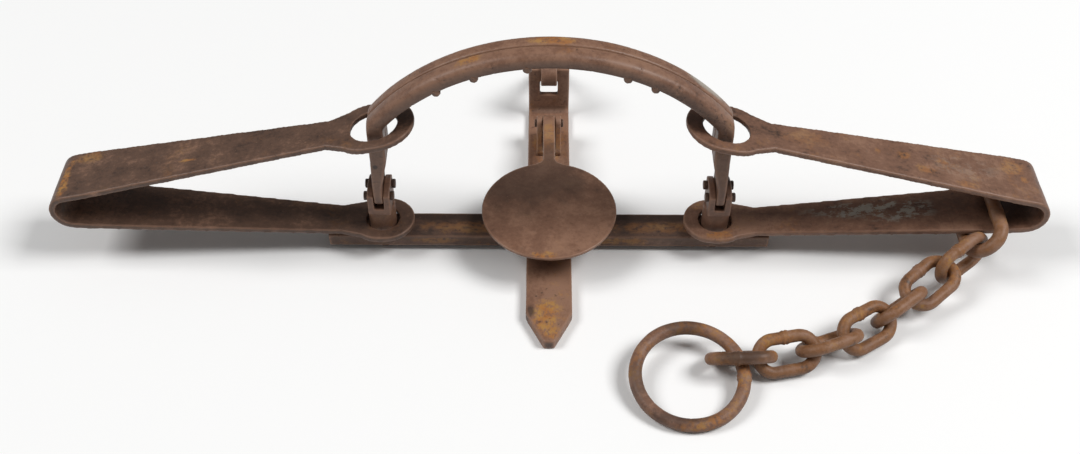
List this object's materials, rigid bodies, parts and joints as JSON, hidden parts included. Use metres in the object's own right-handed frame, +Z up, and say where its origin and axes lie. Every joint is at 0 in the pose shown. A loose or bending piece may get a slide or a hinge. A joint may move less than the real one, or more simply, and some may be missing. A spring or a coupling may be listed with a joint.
{
  "type": "leghold trap",
  "caption": "Double long-spring leghold trap, sprung shut: arched jaws on forked posts, flat bent springs, round pan, dog, cross bar and a chain with an end ring.",
  "frame": {"origin": "on the ground under the crossing of the base bar and the cross bar", "axes": "+X along the base bar towards the spring with the chain, +Y from the pointed leg to the dog's post, +Z up"},
  "size_m": [0.93, 0.4887, 0.242],
  "materials": {
    "frame_iron": "rusted, matt",
    "pin_iron": "rusted, matt",
    "jaw_iron": "rusted, forged",
    "spring_steel": "rusted, rolled",
    "pan_iron": "rusted, cast",
    "chain_iron": "rusted, forged"
  },
  "bodies": {
    "frame": {"base_bar": "frame_iron", "cross_bar": "frame_iron", "cross_rivets": "pin_iron", "left_post": "frame_iron", "right_post": "frame_iron", "left_front_jaw_pin": "pin_iron", "left_rear_jaw_pin": "pin_iron", "right_front_jaw_pin": "pin_iron", "right_rear_jaw_pin": "pin_iron", "pan_bracket": "frame_iron", "pan_bracket_rivets": "pin_iron", "pan_pin": "pin_iron"},
    "front_jaw": {"front_jaw": "jaw_iron", "front_jaw_studs": "pin_iron"},
    "rear_jaw": {"rear_jaw": "jaw_iron", "rear_jaw_studs": "pin_iron"},
    "left_spring_foot": {"left_spring_foot": "spring_steel"},
    "left_spring_arm": {"left_spring_arm": "spring_steel"},
    "right_spring_foot": {"right_spring_foot": "spring_steel"},
    "right_spring_arm": {"right_spring_arm": "spring_steel"},
    "pan": {"pan": "pan_iron"},
    "dog": {"dog": "frame_iron"},
    "chain_shackle": {"chain_shackle": "chain_iron"},
    "chain_link_1": {"chain_link_1": "chain_iron"},
    "chain_link_2": {"chain_link_2": "chain_iron"},
    "chain_link_3": {"chain_link_3": "chain_iron"},
    "chain_link_4": {"chain_link_4": "chain_iron"},
    "chain_link_5": {"chain_link_5": "chain_iron"},
    "chain_link_6": {"chain_link_6": "chain_iron"},
    "chain_link_7": {"chain_link_7": "chain_iron"},
    "chain_ring": {"chain_ring": "chain_iron"}
  },
  "joints": [
    {"name": "front_jaw_open", "type": "hinge", "parent": "frame", "child": "front_jaw", "pos_m": [0, -0.0083, 0.07], "axis": [1, 0, 0], "range_deg": [0, 104], "stiffness_Nm_per_rad": 6, "springref_deg": -34.38, "deforming": ["left_spring_arm", "right_spring_arm"]},
    {"name": "rear_jaw_open", "type": "hinge", "parent": "frame", "child": "rear_jaw", "pos_m": [0, 0.0083, 0.07], "axis": [-1, 0, 0], "range_deg": [0, 104]},
    {"name": "left_spring_swing", "type": "hinge", "parent": "frame", "child": "left_spring_foot", "pos_m": [-0.16, 0, 0.0292], "axis": [0, 0, 1], "range_deg": [-12, 12]},
    {"name": "left_spring_flex", "type": "hinge", "parent": "left_spring_foot", "child": "left_spring_arm", "pos_m": [-0.445, 0, 0.097], "axis": [0, 1, 0], "range_deg": [0, 20]},
    {"name": "right_spring_swing", "type": "hinge", "parent": "frame", "child": "right_spring_foot", "pos_m": [0.16, 0, 0.0292], "axis": [0, 0, 1], "range_deg": [-12, 12]},
    {"name": "right_spring_flex", "type": "hinge", "parent": "right_spring_foot", "child": "right_spring_arm", "pos_m": [0.445, 0, 0.097], "axis": [0, -1, 0], "range_deg": [0, 20]},
    {"name": "pan_tilt", "type": "hinge", "parent": "frame", "child": "pan", "pos_m": [0, 0.14, 0.031], "axis": [1, 0, 0], "range_deg": [-0.5, 4.5]},
    {"name": "dog_swing", "type": "hinge", "parent": "frame", "child": "dog", "pos_m": [0, 0.19225, 0.0543], "axis": [1, 0, 0], "range_deg": [0, 222]},
    {"name": "shackle_swing", "type": "hinge", "parent": "right_spring_foot", "child": "chain_shackle", "pos_m": [0.408, -0.00549, 0.04594], "axis": [0, 1, 0], "range_deg": [-12, 0]},
    {"name": "chain_link_1_swing", "type": "hinge", "parent": "chain_shackle", "child": "chain_link_1", "pos_m": [0.39757, -0.04211, 0.03551], "axis": [0.4056, -0.8192, 0.4056], "range_deg": [-6, 6]},
    {"name": "chain_link_2_swing", "type": "hinge", "parent": "chain_link_1", "child": "chain_link_2", "pos_m": [0.36496, -0.06495, 0.02731], "axis": [-0.2272, -0.0315, 0.9733], "range_deg": [-5, 15]},
    {"name": "chain_link_3_swing", "type": "hinge", "parent": "chain_link_2", "child": "chain_link_3", "pos_m": [0.33269, -0.08971, 0.0191], "axis": [-0.6155, 0.76, 0.2086], "range_deg": [-5, 15]},
    {"name": "chain_link_4_swing", "type": "hinge", "parent": "chain_link_3", "child": "chain_link_4", "pos_m": [0.3002, -0.1155, 0.01834], "axis": [0.2502, -0.4005, 0.8815], "range_deg": [-5, 15]},
    {"name": "chain_link_5_swing", "type": "hinge", "parent": "chain_link_4", "child": "chain_link_5", "pos_m": [0.26435, -0.1362, 0.01964], "axis": [-0.2803, 0.6937, 0.6635], "range_deg": [-5, 15]},
    {"name": "chain_link_6_swing", "type": "hinge", "parent": "chain_link_5", "child": "chain_link_6", "pos_m": [0.22551, -0.15054, 0.01834], "axis": [0.1456, -0.6848, 0.714], "range_deg": [-5, 15]},
    {"name": "chain_link_7_swing", "type": "hinge", "parent": "chain_link_6", "child": "chain_link_7", "pos_m": [0.18476, -0.15807, 0.01941], "axis": [-0.0473, 0.7214, 0.6909], "range_deg": [-5, 15]},
    {"name": "chain_ring_swing", "type": "hinge", "parent": "chain_link_7", "child": "chain_ring", "pos_m": [0.16811, -0.15733, 0.01739], "axis": [-0.3746, 0.9135, 0.1586], "range_deg": [0, 60]}
  ],
  "couplings": [
    {"joint": "rear_jaw_open", "follows": "front_jaw_open", "ratio": 1},
    {"joint": "left_spring_flex", "follows": "front_jaw_open", "ratio": 0.18942},
    {"joint": "right_spring_flex", "follows": "front_jaw_open", "ratio": 0.18942}
  ]
}
